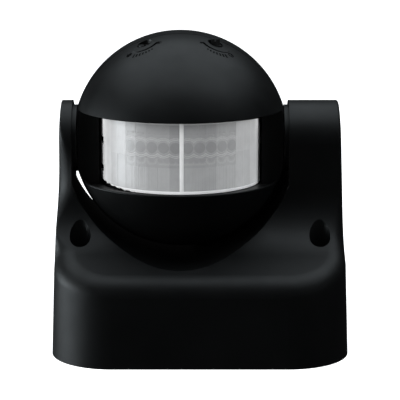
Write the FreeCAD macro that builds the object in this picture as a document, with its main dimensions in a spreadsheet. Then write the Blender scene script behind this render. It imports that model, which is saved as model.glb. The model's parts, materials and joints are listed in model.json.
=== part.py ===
"""Motion sensor with a ball head that tilts in a two-armed saddle base.

Frame: +Z up, z = 0 is the mounting face, the origin is the middle of the base's footprint.
The head looks along -Y at rest and tilts about an axis parallel to X.  All sizes in millimetres.
"""
import FreeCAD, Part
import math
import os
import Sketcher

V = FreeCAD.Vector
OUTPUT_FOLDER = "parts"

doc = FreeCAD.newDocument("motion_sensor")
sheet = doc.addObject("Spreadsheet::Sheet", "dims")


# ---------------------------------------------------------------- driving dimensions

DIMENSIONS = [
    ("base_width", 85.0), ("base_depth", 71.0), ("plan_corner", 17.9), ("side_draft", 2.0),
    ("wall", 2.4), ("slope_angle", 22.5), ("hollow_radius", 18.0), ("hollow_height", 46.2),
    ("arm_depth", 22.0), ("pivot_height", 59.45), ("ball_offset", -5.64), ("ball_radius", 31.3),
    ("arm_face", 31.2), ("trough_radius", 33.6), ("trough_flare", 0.03), ("collar_radius", 9.7),
    ("collar_face", 29.9), ("web_front", 8.0), ("web_thickness", 4.0), ("web_radius", 31.2),
    ("screw_hole_x", 34.2), ("screw_hole_y", -16.0), ("screw_hole_radius", 3.0),
    ("tube_radius", 5.8), ("tube_floor", 6.0), ("tube_floor_top", 8.0), ("screw_shank", 1.6),
    ("plate_thickness", 3.0), ("plate_inset", 3.6), ("gasket_thickness", 1.0),
    ("hook_x", 18.0), ("hook_width", 8.0), ("hook_reach", 1.9), ("hook_height", 2.0),
    ("wall_slot_x", 28.0), ("wall_slot_y", 4.0), ("wall_slot_radius", 2.25), ("wall_slot_length", 9.0),
    ("grommet_x", -14.0), ("grommet_y", 4.0), ("grommet_radius", 7.0), ("grommet_flange", 8.6),
    ("cable_radius", 3.5), ("block_x", 10.0), ("block_y", 4.0), ("block_width", 14.0),
    ("block_length", 28.0), ("block_height", 12.0), ("way_pitch", 9.0), ("clamp_x", -2.0),
    ("shell_wall", 2.0), ("flat_face", 29.6), ("cavity_face", 27.4), ("seam", -4.8), ("seam_gap", 0.3),
    ("visor_height", 8.95), ("rim_height", -11.35), ("lip_height", 1.0), ("lip_width", 1.0),
    ("ledge_radius", 23.45), ("ledge_thickness", 2.0), ("cheek_front", -6.8),
    ("lens_radius", 23.2), ("lens_thickness", 0.8), ("lens_bottom", -13.3), ("lens_top", 10.4),
    ("lens_half_angle", 85.0), ("stub_radius", 4.0), ("stub_end", 33.6), ("trunnion_radius", 4.5),
    ("trunnion_bore", 2.4), ("trunnion_end", 36.4), ("running_gap", 0.05), ("seal_ring", 5.4),
    ("seal_section", 0.6), ("seal_recess_radius", 6.2), ("seal_recess_depth", 1.25),
    ("stop_ring_radius", 7.0), ("stop_ring_thickness", 1.6), ("stop_lug_reach", 8.2),
    ("stop_lug_width", 2.4), ("stop_lug_angle", 32.0), ("stop_rib_width", 2.0), ("stop_rib_gap", 0.4),
    ("stop_spare_angle", 0.8), ("tilt_up", 90.0), ("tilt_down", 25.0), ("edge_rounding", 0.35),
    ("boss_x", 16.5), ("boss_z", 20.2), ("boss_radius", 2.6), ("boss_tube_radius", 3.3),
    ("head_screw_hole", 2.5), ("head_screw_shank", 1.2), ("board_radius", 22.4),
    ("board_front", 5.0), ("board_thickness", 1.6), ("post_x", 18.0), ("post_z", -4.0),
    ("post_radius", 2.4), ("dial_x", 10.0), ("dial_y", -8.0), ("dial_hole", 2.1), ("dial_radius", 1.8),
    ("dial_top", 28.0), ("scale_depth", 0.4), ("trimmer_board_height", 17.0),
    ("detector_height", -1.2), ("detector_radius", 4.6), ("lead_radius", 1.6), ("core_radius", 0.7),
]

for row, (alias, number) in enumerate(DIMENSIONS, start=1):
    sheet.set(f"A{row}", str(number))
    sheet.setAlias(f"A{row}", alias)
doc.recompute()


class Size:
    """A length that keeps its number and the spreadsheet expression that it comes from."""

    def __init__(self, number, text=None):
        self.number = float(number)
        self.text = text if text is not None else repr(float(number))

    def combine(self, other, sign, number):
        other = as_size(other)
        return Size(number(self.number, other.number), f"({self.text} {sign} {other.text})")

    def __add__(self, other):
        return self.combine(other, "+", lambda a, b: a + b)

    def __radd__(self, other):
        return as_size(other) + self

    def __sub__(self, other):
        return self.combine(other, "-", lambda a, b: a - b)

    def __rsub__(self, other):
        return as_size(other) - self

    def __mul__(self, other):
        return self.combine(other, "*", lambda a, b: a * b)

    def __rmul__(self, other):
        return as_size(other) * self

    def __truediv__(self, other):
        return self.combine(other, "/", lambda a, b: a / b)

    def __neg__(self):
        return self * -1


def as_size(value):
    return value if isinstance(value, Size) else Size(value)


def dim(alias):
    return Size(sheet.get(alias), f"dims.{alias}")


def sine(angle):
    return Size(math.sin(math.radians(angle.number)), f"sin({angle.text} * 1 deg)")


def cosine(angle):
    return Size(math.cos(math.radians(angle.number)), f"cos({angle.text} * 1 deg)")


def root(value):
    return Size(math.sqrt(value.number), f"sqrt({value.text})")


# ---------------------------------------------------------------- helpers

AXES = {
    "+X": FreeCAD.Rotation(V(0, 1, 0), 90), "-X": FreeCAD.Rotation(V(0, 1, 0), -90),
    "+Y": FreeCAD.Rotation(V(1, 0, 0), -90), "-Y": FreeCAD.Rotation(V(1, 0, 0), 90),
    "+Z": FreeCAD.Rotation(), "-Z": FreeCAD.Rotation(V(1, 0, 0), 180),
}
BALL_CENTRE = (dim("ball_offset"), Size(0), dim("pivot_height"))
PARTS = []


def bind(obj, prop, value):
    """Binds a property to the spreadsheet, or sets it when the value is a plain number."""
    value = as_size(value)
    if "dims." in value.text:
        obj.setExpression(prop, value.text)
    elif not prop.startswith("Placement."):
        setattr(obj, prop, value.number)


def place(obj, at=(0, 0, 0), rotation=None):
    base = V(*[as_size(value).number for value in at])
    obj.Placement = FreeCAD.Placement(base, rotation or FreeCAD.Rotation())
    for letter, value in zip("xyz", at):
        bind(obj, f"Placement.Base.{letter}", value)
    return obj


def cylinder(name, radius, height, at=(0, 0, 0), axis="+Z"):
    obj = doc.addObject("Part::Cylinder", name)
    bind(obj, "Radius", radius)
    bind(obj, "Height", height)
    return place(obj, at, AXES[axis])


def cone(name, radius_1, radius_2, height, at=(0, 0, 0), axis="+Z"):
    obj = doc.addObject("Part::Cone", name)
    bind(obj, "Radius1", radius_1)
    bind(obj, "Radius2", radius_2)
    bind(obj, "Height", height)
    return place(obj, at, AXES[axis])


def sphere(name, radius, at=(0, 0, 0)):
    """A ball whose poles lie on its front and back and whose seam line runs along its underside."""
    obj = doc.addObject("Part::Sphere", name)
    bind(obj, "Radius", radius)
    return place(obj, at, FreeCAD.Rotation(V(0, 0, -1), V(-1, 0, 0), V(0, 1, 0), "ZXY"))


def torus(name, ring, section, at=(0, 0, 0), axis="+Z"):
    obj = doc.addObject("Part::Torus", name)
    bind(obj, "Radius1", ring)
    bind(obj, "Radius2", section)
    return place(obj, at, AXES[axis])


def box(name, low, high):
    """A box between two opposite corners."""
    obj = doc.addObject("Part::Box", name)
    for prop, start, end in zip(("Length", "Width", "Height"), low, high):
        bind(obj, prop, as_size(end) - as_size(start))
    return place(obj, low)


def fuse(name, *shapes):
    obj = doc.addObject("Part::MultiFuse", name)
    obj.Shapes = list(shapes)
    return obj


def common(name, *shapes):
    obj = doc.addObject("Part::MultiCommon", name)
    obj.Shapes = list(shapes)
    return obj


def cut(name, base, *tools):
    obj = doc.addObject("Part::Cut", name)
    obj.Base = base
    obj.Tool = tools[0] if len(tools) == 1 else fuse(name + "_tools", *tools)
    return obj


def group(name, *shapes):
    """Identical loose pieces that share one node."""
    obj = doc.addObject("Part::Compound", name)
    obj.Links = list(shapes)
    return obj


def tube(name, outer, inner, height, at=(0, 0, 0), axis="+Z"):
    return cut(name, cylinder(name + "_outside", outer, height, at, axis),
               cylinder(name + "_inside", inner, height, at, axis))


def sub_part(obj, label, at=None):
    """Registers a finished piece under the name of its node."""
    obj.Label = label
    if at is not None:
        place(obj, at)
    PARTS.append(obj)
    return obj


def new_body(name):
    return doc.addObject("PartDesign::Body", name)


def new_sketch(body, name, role, height=None):
    """A sketch on one of the body's origin planes, raised along the plane's normal."""
    plane = [item for item in body.Origin.OriginFeatures if item.Role == role][0]
    drawing = body.newObject("Sketcher::SketchObject", name)
    drawing.AttachmentSupport = [(plane, "")]
    drawing.MapMode = "FlatFace"
    if height is not None:
        drawing.AttachmentOffset = FreeCAD.Placement(V(0, 0, as_size(height).number), FreeCAD.Rotation())
        if "dims." in as_size(height).text:
            drawing.setExpression("AttachmentOffset.Base.z", as_size(height).text)
    return drawing


def fix_point(drawing, geometry, end, corner):
    """Holds one end of a line or arc at a corner given by two sizes."""
    for kind, value in zip(("DistanceX", "DistanceY"), corner):
        value = as_size(value)
        index = drawing.addConstraint(
            Sketcher.Constraint(kind, -1, 1, geometry, end, value.number))
        if "dims." in value.text:
            drawing.setExpression(f"Constraints[{index}]", value.text)


def outline(drawing, corners, arcs=None):
    """Draws a closed outline through the corners.

    arcs maps a corner's index to (radius, side) for the arc that leaves it: side is +1 when the
    centre lies left of the way to the next corner and -1 when it lies right.
    """
    arcs = arcs or {}
    flat = [V(as_size(x).number, as_size(y).number, 0) for x, y in corners]
    ends = []
    for index, start in enumerate(flat):
        stop = flat[(index + 1) % len(flat)]
        if index not in arcs:
            ends.append((drawing.addGeometry(Part.LineSegment(start, stop)), 1, 2))
            continue
        radius, side = arcs[index]
        chord = stop - start
        rise = math.sqrt(max(radius.number ** 2 - chord.Length ** 2 / 4, 0))
        centre = (start + stop) * 0.5 + V(-chord.y, chord.x, 0).normalize() * rise * side
        angles = [math.atan2(p.y - centre.y, p.x - centre.x) for p in (start, stop)]
        if side < 0:
            angles.reverse()
        circle = Part.Circle(centre, V(0, 0, 1), radius.number)
        arc = drawing.addGeometry(Part.ArcOfCircle(circle, *angles))
        ends.append((arc, 1, 2) if side > 0 else (arc, 2, 1))
    for index, (geometry, _, last) in enumerate(ends):
        following, first, _ = ends[(index + 1) % len(ends)]
        drawing.addConstraint(Sketcher.Constraint("Coincident", geometry, last, following, first))
    for index, (geometry, first, _) in enumerate(ends):
        fix_point(drawing, geometry, first, corners[index])
        if index in arcs:
            radius = arcs[index][0]
            number = drawing.addConstraint(Sketcher.Constraint("Radius", geometry, radius.number))
            if "dims." in radius.text:
                drawing.setExpression(f"Constraints[{number}]", radius.text)
    return drawing


def rectangle(drawing, low_x, low_y, high_x, high_y):
    return outline(drawing, [(low_x, low_y), (high_x, low_y), (high_x, high_y), (low_x, high_y)])


def ring_hole(drawing, x, y, radius):
    """A full circle held by its centre and radius."""
    x, y, radius = as_size(x), as_size(y), as_size(radius)
    circle = Part.Circle(V(x.number, y.number, 0), V(0, 0, 1), radius.number)
    geometry = drawing.addGeometry(circle)
    fix_point(drawing, geometry, 3, (x, y))
    index = drawing.addConstraint(Sketcher.Constraint("Radius", geometry, radius.number))
    if "dims." in radius.text:
        drawing.setExpression(f"Constraints[{index}]", radius.text)


def pad(body, name, drawing, length, both_ways=False, reverse=False, taper=None):
    feature = body.newObject("PartDesign::Pad", name)
    feature.Profile = drawing
    bind(feature, "Length", length)
    if both_ways:
        feature.SideType = "Symmetric"
    feature.Reversed = reverse
    if taper is not None:
        bind(feature, "TaperAngle", taper)
    return feature


def pocket(body, name, drawing, length, reverse=False):
    feature = body.newObject("PartDesign::Pocket", name)
    feature.Profile = drawing
    bind(feature, "Length", length)
    feature.Reversed = reverse
    return feature


def revolve(body, name, drawing, axis="V_Axis"):
    feature = body.newObject("PartDesign::Revolution", name)
    feature.Profile = drawing
    feature.ReferenceAxis = (drawing, [axis])
    feature.Angle = 360
    return feature


def turned(name, corners, arcs=None):
    """A solid of revolution about its own Z axis from a radius-and-height outline."""
    body = new_body(name)
    drawing = outline(new_sketch(body, name + "_profile", "XZ_Plane"), corners, arcs)
    revolve(body, name + "_turn", drawing)
    return body


def plan_corners(half_width, half_depth, radius):
    """The rounded rectangle of the base's footprint, anticlockwise from its front edge."""
    x, y = half_width, half_depth
    corners = [(radius - x, -y), (x - radius, -y), (x, radius - y), (x, y - radius),
               (x - radius, y), (radius - x, y), (-x, y - radius), (-x, radius - y)]
    return corners, {index: (radius, 1) for index in (1, 3, 5, 7)}


def footprint(body, name, inset, height=None):
    corners, arcs = plan_corners(dim("base_width") / 2 - inset, dim("base_depth") / 2 - inset,
                                 dim("plan_corner") - inset)
    return outline(new_sketch(body, name, "XY_Plane", height), corners, arcs)


def in_line(points, width):
    """A round lead along straight runs joined by tangent arcs, as large as the runs allow."""
    edges = []
    start = points[0]
    for index in range(1, len(points) - 1):
        before, corner, after = points[index - 1], points[index], points[index + 1]
        arrive = (corner - before).normalize()
        leave = (after - corner).normalize()
        turn = arrive.getAngle(leave)
        reach = 0.45 * min((corner - before).Length, (after - corner).Length)
        first = corner - arrive * reach
        last = corner + leave * reach
        radius = reach / math.tan(turn / 2)
        inwards = (leave - arrive).normalize()
        middle = corner + inwards * (radius / math.cos(turn / 2) - radius)
        edges += [Part.LineSegment(start, first).toShape(), Part.Arc(first, middle, last).toShape()]
        start = last
    edges.append(Part.LineSegment(start, points[-1]).toShape())
    path = Part.Wire(edges)
    heading = (points[1] - points[0]).normalize()
    section = Part.Wire(Part.Circle(points[0], heading, width).toShape())
    return path.makePipeShell([section], True, False)


def lead(name, points, radius_alias):
    obj = doc.addObject("Part::Feature", name)
    obj.Shape = in_line([V(*[as_size(value).number for value in point]) for point in points],
                        dim(radius_alias).number)
    return obj


# ---------------------------------------------------------------- base housing

def ridge(name, inset):
    """The housing's side profile, drawn across its depth and pulled along its width."""
    angle = dim("slope_angle")
    arm = dim("arm_depth") / 2 - inset
    hollow = dim("hollow_radius") + inset
    centre_y = dim("arm_depth") / 2 + dim("hollow_radius")
    slope_y = centre_y - hollow * sine(angle)
    slope_z = dim("hollow_height") - hollow * cosine(angle)
    end_y = dim("base_depth") / 2 + 2
    end_z = slope_z - (end_y - slope_y) * sine(angle) / cosine(angle)
    top = dim("pivot_height")
    corners = [(-end_y, -1), (end_y, -1), (end_y, end_z), (slope_y, slope_z),
               (arm, dim("hollow_height")), (arm, top), (0, top + arm), (-arm, top),
               (-arm, dim("hollow_height")), (-slope_y, slope_z), (-end_y, end_z)]
    arcs = {3: (hollow, -1), 5: (arm, 1), 6: (arm, 1), 8: (hollow, -1)}
    body = new_body(name)
    drawing = outline(new_sketch(body, name + "_profile", "YZ_Plane"), corners, arcs)
    pad(body, name + "_pull", drawing, dim("base_width") + 4, both_ways=True)
    return body


REACH = 40.0              # past the outside of everything that a tool body cuts
SHOULDER_ROUNDING = 6.5
ARM_ROUNDING = 1.3
SHOULDER_LEVEL = 27.0     # up to here the rounding is full
ARM_LEVEL = 50.0          # from here on it is small
SADDLE_ROUNDING = 0.5
MERGE = 0.4               # how far a joined body reaches into its neighbour
RIB_HEIGHT = 2.2
SCREW_CLEARANCE = 0.2
END_GAP = 0.3             # the space left beyond the stub's end
HOOK_CLEARANCE = 0.3
HOOK_POCKET_END = 1.3     # the wall left outside a hook's pocket


def drafted_block(name, inset):
    """The footprint drawn up to above the arms, leaning in by the mould's draft."""
    body = new_body(name)
    drawing = footprint(body, name + "_plan", inset)
    pad(body, name + "_rise", drawing, dim("pivot_height") + 15, taper=-dim("side_draft"))
    return body


def trough(name, extra):
    """The space for the ball: a slightly flared round channel, open upwards between the arms."""
    x = dim("ball_offset")
    z = dim("pivot_height")
    flare = dim("trough_flare") * REACH
    radius = dim("trough_radius") + extra
    channel = cone(name + "_channel", radius - flare, radius + flare, 2 * REACH, (x, -REACH, z), "+Y")
    face = dim("arm_face") + extra
    between = box(name + "_between", (x - face, -REACH, 0), (x + face, REACH, z + REACH))
    above = box(name + "_above", (x - face, -REACH, z), (x + face, REACH, z + REACH))
    return common(name, between, fuse(name + "_open", channel, above))


def sharp_edges(shape, wanted, least_angle):
    """Finds the edges where two faces meet at a real angle, of those whose middle is wanted."""
    found = []
    for index, edge in enumerate(shape.Edges, start=1):
        middle = edge.valueAt((edge.FirstParameter + edge.LastParameter) / 2)
        faces = shape.ancestorsOfType(edge, Part.Face)
        if len(faces) != 2 or not wanted(middle):
            continue
        normals = [face.normalAt(*face.Surface.parameter(middle)) for face in faces]
        if math.degrees(normals[0].getAngle(normals[1])) > least_angle:
            found.append((index, edge))
    return found


def rim_radius(height):
    """The rounding is full at the front shoulder and small along the arms."""
    share = min(max((height - SHOULDER_LEVEL) / (ARM_LEVEL - SHOULDER_LEVEL), 0), 1)
    return SHOULDER_ROUNDING + (ARM_ROUNDING - SHOULDER_ROUNDING) * share


def rounded_blank():
    """The outside of the housing before the ball's channel is cut."""
    blank = common("housing_blank", drafted_block("outer_block", 0), ridge("outer_ridge", 0))
    doc.recompute()
    rounded = doc.addObject("Part::Fillet", "housing_rounded")
    rounded.Base = blank
    rounded.Edges = [(index, rim_radius(edge.firstVertex(True).Z), rim_radius(edge.lastVertex(True).Z))
                     for index, edge in sharp_edges(blank.Shape, lambda middle: middle.z > 1, 5)]
    return rounded


def saddled(blank):
    """The outside of the housing with the ball's channel cut; its front edge is slightly rounded."""
    open_saddle = cut("housing_open", blank, trough("ball_space", 0))
    doc.recompute()
    ahead = -dim("arm_depth").number / 2 - 1
    outside = doc.addObject("Part::Fillet", "housing_outside")
    outside.Base = open_saddle
    outside.Edges = [(index, SADDLE_ROUNDING, SADDLE_ROUNDING) for index, _ in
                     sharp_edges(open_saddle.Shape, lambda middle: middle.y < ahead and middle.z > 3, 12)]
    return outside


def screw_tubes(outside):
    """Two tubes that lead a screwdriver from the slope down to the screws' floor."""
    tubes = [cylinder(f"screw_tube_{side}", dim("tube_radius"), REACH,
                      (dim("screw_hole_x") * sign, dim("screw_hole_y"), dim("tube_floor")))
             for side, sign in (("left", -1), ("right", 1))]
    return common("screw_tubes", fuse("screw_tube_pair", *tubes), outside)


def pivot_collars():
    """Round collars that face the ball's flats, left and right."""
    x, z = dim("ball_offset"), dim("pivot_height")
    height = dim("arm_face") - dim("collar_face") + MERGE
    radius = dim("collar_radius")
    left = cylinder("collar_left", radius, height, (x - dim("arm_face") - MERGE, 0, z), "+X")
    right = cylinder("collar_right", radius, height, (x + dim("collar_face"), 0, z), "+X")
    return left, right


def pivot_bores():
    """Blind bore for the stub, through bore for the hollow trunnion, and the seals' recesses."""
    x, z = dim("ball_offset"), dim("pivot_height")
    face = dim("collar_face")
    gap = dim("running_gap")
    recess, depth = dim("seal_recess_radius"), dim("seal_recess_depth")
    return [
        cylinder("stub_bore", dim("stub_radius") + gap, dim("stub_end") - face + END_GAP,
                 (x - face, 0, z), "-X"),
        cylinder("trunnion_bore_hole", dim("trunnion_radius") + gap, 6, (x + face, 0, z), "+X"),
        cylinder("seal_recess_left", recess, depth, (x - face, 0, z), "-X"),
        cylinder("seal_recess_right", recess, depth, (x + face, 0, z), "+X"),
    ]


def rear_web(blank):
    """A web behind the ball on the thick arm's side, which stiffens the saddle."""
    x, y, z = dim("ball_offset"), dim("web_front"), dim("pivot_height")
    ring = cut("web_ring", cylinder("web_disc", 38, dim("web_thickness"), (x, y, z), "+Y"),
               cylinder("web_opening", dim("web_radius"), dim("web_thickness"), (x, y, z), "+Y"))
    quarter = box("web_quarter", (x + 4, 0, 5), (x + 36, 20, z - 6))
    return common("rear_web", ring, quarter, blank)


def stop_spacing():
    """The angle between the lug and a rib that just clear each other at the rib's inner edge."""
    meeting = dim("stop_ring_radius") + dim("stop_rib_gap")
    half_widths = (dim("stop_lug_width") + dim("stop_rib_width")) / 2
    return math.degrees(half_widths.number / meeting.number) + dim("stop_spare_angle").number


def stop_ribs():
    """Two ribs inside the thick arm that end the head's tilt each way."""
    wall = dim("arm_face") + dim("wall")
    half = dim("stop_rib_width") / 2
    inner, outer = dim("stop_ring_radius") + dim("stop_rib_gap"), dim("arm_depth") / 2 - 1
    ribs = []
    for name, angle in (("up", -dim("tilt_up").number - stop_spacing()),
                        ("down", dim("tilt_down").number + stop_spacing())):
        rib = box(f"stop_rib_{name}", (wall - MERGE, -half, inner), (wall + RIB_HEIGHT, half, outer))
        turn = FreeCAD.Rotation(V(1, 0, 0), dim("stop_lug_angle").number + angle)
        ribs.append(place(group(f"stop_rib_{name}_turned", rib), BALL_CENTRE, turn))
    return ribs


def base_housing():
    blank = rounded_blank()
    cavity = cut("cavity", common("cavity_block", drafted_block("inner_block", dim("wall")),
                                  ridge("inner_ridge", dim("wall"))), trough("ball_wall", dim("wall")))
    outside = saddled(blank)
    tubes = screw_tubes(outside)
    shell = cut("housing_shell", outside, cavity)
    whole = fuse("housing_whole", shell, tubes, rear_web(blank), *pivot_collars(), *stop_ribs())
    openings = list(pivot_bores())
    for side, sign in (("left", -1), ("right", 1)):
        x = dim("screw_hole_x") * sign
        y = dim("screw_hole_y")
        openings.append(cylinder(f"screw_well_{side}", dim("screw_hole_radius"), REACH,
                                 (x, y, dim("tube_floor_top"))))
        openings.append(cylinder(f"screw_pass_{side}", dim("screw_shank") + SCREW_CLEARANCE,
                                 dim("tube_floor_top"), (x, y, 0)))
        hook_x = dim("hook_x") * sign
        half = dim("hook_width") / 2 + HOOK_CLEARANCE
        back = dim("base_depth") / 2
        low = dim("plate_thickness") - 0.1
        openings.append(box(f"hook_pocket_{side}", (hook_x - half, back - 4, low),
                            (hook_x + half, back - HOOK_POCKET_END,
                             low + dim("hook_height") + HOOK_CLEARANCE)))
    return sub_part(cut("base_housing", whole, *openings), "base_housing")


# ---------------------------------------------------------------- back plate and wiring

def back_plate():
    body = new_body("plate_body")
    pad(body, "plate_sheet", footprint(body, "plate_plan", dim("plate_inset")), dim("plate_thickness"))
    holes = new_sketch(body, "plate_holes", "XY_Plane")
    ring_hole(holes, dim("grommet_x"), dim("grommet_y"), dim("grommet_radius"))
    radius = dim("wall_slot_radius")
    reach = dim("wall_slot_length") / 2 - radius
    for sign in (-1, 1):
        x = dim("wall_slot_x") * sign
        y = dim("wall_slot_y")
        corners = [(x - reach, y - radius), (x + reach, y - radius), (x + reach + radius, y),
                   (x + reach, y + radius), (x - reach, y + radius), (x - reach - radius, y)]
        outline(holes, corners, {1: (radius, 1), 2: (radius, 1), 4: (radius, 1), 5: (radius, 1)})
    pocket(body, "plate_cuts", holes, dim("plate_thickness"), reverse=True)
    top = dim("plate_thickness")
    post, post_floor, hook_root = 3.5, 0.8, 3.0
    raised = []
    for side, sign in (("left", -1), ("right", 1)):
        x = dim("screw_hole_x") * sign
        raised.append(cylinder(f"plate_post_{side}", post, dim("tube_floor") - top,
                               (x, dim("screw_hole_y"), top)))
        hook_x = dim("hook_x") * sign
        half = dim("hook_width") / 2
        edge = dim("base_depth") / 2 - dim("plate_inset")
        raised.append(box(f"plate_hook_{side}", (hook_x - half, edge - hook_root, top),
                          (hook_x + half, edge + dim("hook_reach"), top + dim("hook_height"))))
    pilots = [cylinder(f"plate_pilot_{side}", dim("screw_shank"), dim("tube_floor") - post_floor,
                       (dim("screw_hole_x") * sign, dim("screw_hole_y"), post_floor))
              for side, sign in (("left", -1), ("right", 1))]
    pilots += [cylinder(f"small_pilot_{index}", SMALL_SHANK, top - PILOT_FLOOR, (x, y, PILOT_FLOOR))
               for index, (x, y) in enumerate(small_screw_places())]
    return sub_part(cut("back_plate", fuse("plate_whole", body, *raised), *pilots), "back_plate")


SMALL_SHANK = 1.2
SMALL_HOLE = 1.4
PILOT_FLOOR = 0.6         # the plate left under a small screw's pilot hole
CORD_SCREW_REACH = 7.0    # from the cord's middle to each clamp screw


def small_screw_places():
    """Where the terminal block and the cord clamp are screwed to the back plate."""
    pitch = dim("way_pitch") / 2
    block = [(dim("block_x"), dim("block_y") + pitch * sign) for sign in (-1, 1)]
    clamp = [(dim("clamp_x"), dim("grommet_y") + CORD_SCREW_REACH * sign) for sign in (Size(-1), Size(1))]
    return block + clamp


def plate_gasket():
    body = new_body("gasket_body")
    inner = dim("plate_inset")
    outer = inner - dim("gasket_thickness")
    low, height = 0.6, 2.0
    pad(body, "gasket_block", footprint(body, "gasket_outside", outer, low), height)
    pocket(body, "gasket_hole", footprint(body, "gasket_inside", inner, low), height, reverse=True)
    return sub_part(body, "plate_gasket")


SLOT_DEPTH = 0.5          # the cross slot's depth as a share of the head's height
SLOT_SPAN = 0.62          # its half length as a share of the head's radius
SLOT_WIDTH = 0.13         # its half width as a share of the head's radius


def pan_screw(name, head, shank, head_height, length, at, axis):
    """A pan-head screw: axis points from the tip towards the head, at is under the head."""
    opposite = {"+": "-", "-": "+"}[axis[0]] + axis[1]
    cap = cylinder(name + "_head", head, head_height, at, axis)
    stem = cylinder(name + "_stem", shank, length, at, opposite)
    letter = axis[1]
    step = head_height * (1 if axis[0] == "+" else -1)
    shift = [as_size(value) + (step if letter == "XYZ"[index] else 0) for index, value in enumerate(at)]
    slot_depth = head_height * SLOT_DEPTH
    span, width = head * SLOT_SPAN, head * SLOT_WIDTH
    slots = []
    for turn in (0, 1):
        sizes = [span, width] if turn else [width, span]
        reach = {other: sizes.pop() for other in "XYZ" if other != letter}
        reach[letter] = slot_depth
        low = [value - reach["XYZ"[index]] for index, value in enumerate(shift)]
        high = [value + reach["XYZ"[index]] for index, value in enumerate(shift)]
        slots.append(box(f"{name}_slot_{turn}", low, high))
    return cut(name, fuse(name + "_blank", cap, stem), *slots)


def housing_screws():
    head, head_height = 2.8, 2.0
    length = dim("tube_floor_top") - 1.0
    screws = [pan_screw(f"housing_screw_{side}", head, dim("screw_shank"), head_height, length,
                        (dim("screw_hole_x") * sign, dim("screw_hole_y"), dim("tube_floor_top")), "+Z")
              for side, sign in (("left", -1), ("right", 1))]
    return sub_part(group("housing_screws", *screws), "housing_screws")


def cable_grommet():
    """A rubber membrane grommet with a stepped cone; the supply cable comes in through its hole."""
    hole, flange, bore = dim("grommet_radius"), dim("grommet_flange"), dim("cable_radius")
    top = dim("plate_thickness")
    body = turned("grommet_body", [
        (bore, 0.4), (hole, 0.4), (hole, top), (flange, top), (flange, top + 1.0), (hole - 0.6, top + 1.2),
        (bore + 1.2, top + 3.2), (bore, top + 3.2)])
    return sub_part(body, "cable_grommet", (dim("grommet_x"), dim("grommet_y"), 0))


def way_places():
    return [dim("block_y") + dim("way_pitch") * step for step in (Size(-1), Size(0), Size(1))]


WAY_NAMES = ("live", "neutral", "load")
CLAMP_HALF = (4.6, 2.6)   # half of a terminal cage, along the wire and across it
CLAMP_BASE = 2.0
CLAMP_HEIGHT = 6.2
WIRE_LEVEL = 2.6          # the wire's middle above the cage's foot
BLOCK_SEAT = 3.0          # the seat of the block's own screws


def terminal_block():
    x, y, low = dim("block_x"), dim("block_y"), dim("plate_thickness")
    half_x, half_y = dim("block_width") / 2, dim("block_length") / 2
    blank = box("block_blank", (x - half_x, y - half_y, low),
                (x + half_x, y + half_y, low + dim("block_height")))
    entry, well, seat = 1.9, 2.2, 1.8
    cuts = []
    for name, way in zip(WAY_NAMES, way_places()):
        cuts.append(box(f"block_cell_{name}", (x - CLAMP_HALF[0], way - CLAMP_HALF[1], low + CLAMP_BASE),
                        (x + CLAMP_HALF[0], way + CLAMP_HALF[1], low + CLAMP_BASE + CLAMP_HEIGHT)))
        cuts.append(cylinder(f"block_entry_{name}", entry, dim("block_width"),
                             (x - half_x, way, low + CLAMP_BASE + WIRE_LEVEL), "+X"))
        cuts.append(cylinder(f"block_well_{name}", well, dim("block_height"), (x, way, low + CLAMP_BASE)))
    for index, (hole_x, hole_y) in enumerate(small_screw_places()[:2]):
        cuts.append(cylinder(f"block_fixing_{index}", SMALL_HOLE, dim("block_height"), (hole_x, hole_y, low)))
        cuts.append(cylinder(f"block_fixing_seat_{index}", seat, dim("block_height"),
                             (hole_x, hole_y, low + BLOCK_SEAT)))
    return sub_part(cut("terminal_block", blank, *cuts), "terminal_block")


def terminal_clamps():
    x, low = dim("block_x"), dim("plate_thickness") + CLAMP_BASE
    wire_radius, thread_radius = 1.8, 1.5
    clamps = []
    for name, way in zip(WAY_NAMES, way_places()):
        cage = box(f"cage_{name}", (x - CLAMP_HALF[0], way - CLAMP_HALF[1], low),
                   (x + CLAMP_HALF[0], way + CLAMP_HALF[1], low + CLAMP_HEIGHT))
        wire_way = cylinder(f"cage_wire_{name}", wire_radius, 2 * CLAMP_HALF[0],
                            (x - CLAMP_HALF[0], way, low + WIRE_LEVEL), "+X")
        thread = cylinder(f"cage_thread_{name}", thread_radius, CLAMP_HEIGHT, (x, way, low + WIRE_LEVEL))
        clamps.append(cut(f"clamp_{name}", cage, wire_way, thread))
    return sub_part(group("terminal_clamps", *clamps), "terminal_clamps")


def terminal_screws():
    low = dim("plate_thickness") + CLAMP_BASE + CLAMP_HEIGHT
    head, shank, head_height, length = 2.0, 1.5, 1.8, 2.4
    under_head = low + 0.6
    screws = [pan_screw(f"terminal_screw_{name}", head, shank, head_height, length,
                        (dim("block_x"), way, under_head), "+Z")
              for name, way in zip(WAY_NAMES, way_places())]
    return sub_part(group("terminal_screws", *screws), "terminal_screws")


def block_screws():
    head, shank, head_height, length = 1.7, SMALL_SHANK, 1.2, 5.2
    under_head = dim("plate_thickness") + BLOCK_SEAT
    screws = [pan_screw(f"block_screw_{index}", head, shank, head_height, length, (x, y, under_head), "+Z")
              for index, (x, y) in enumerate(small_screw_places()[:2])]
    return sub_part(group("block_screws", *screws), "block_screws")


CORD_CLAMP_HEIGHT = 6.5


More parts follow.
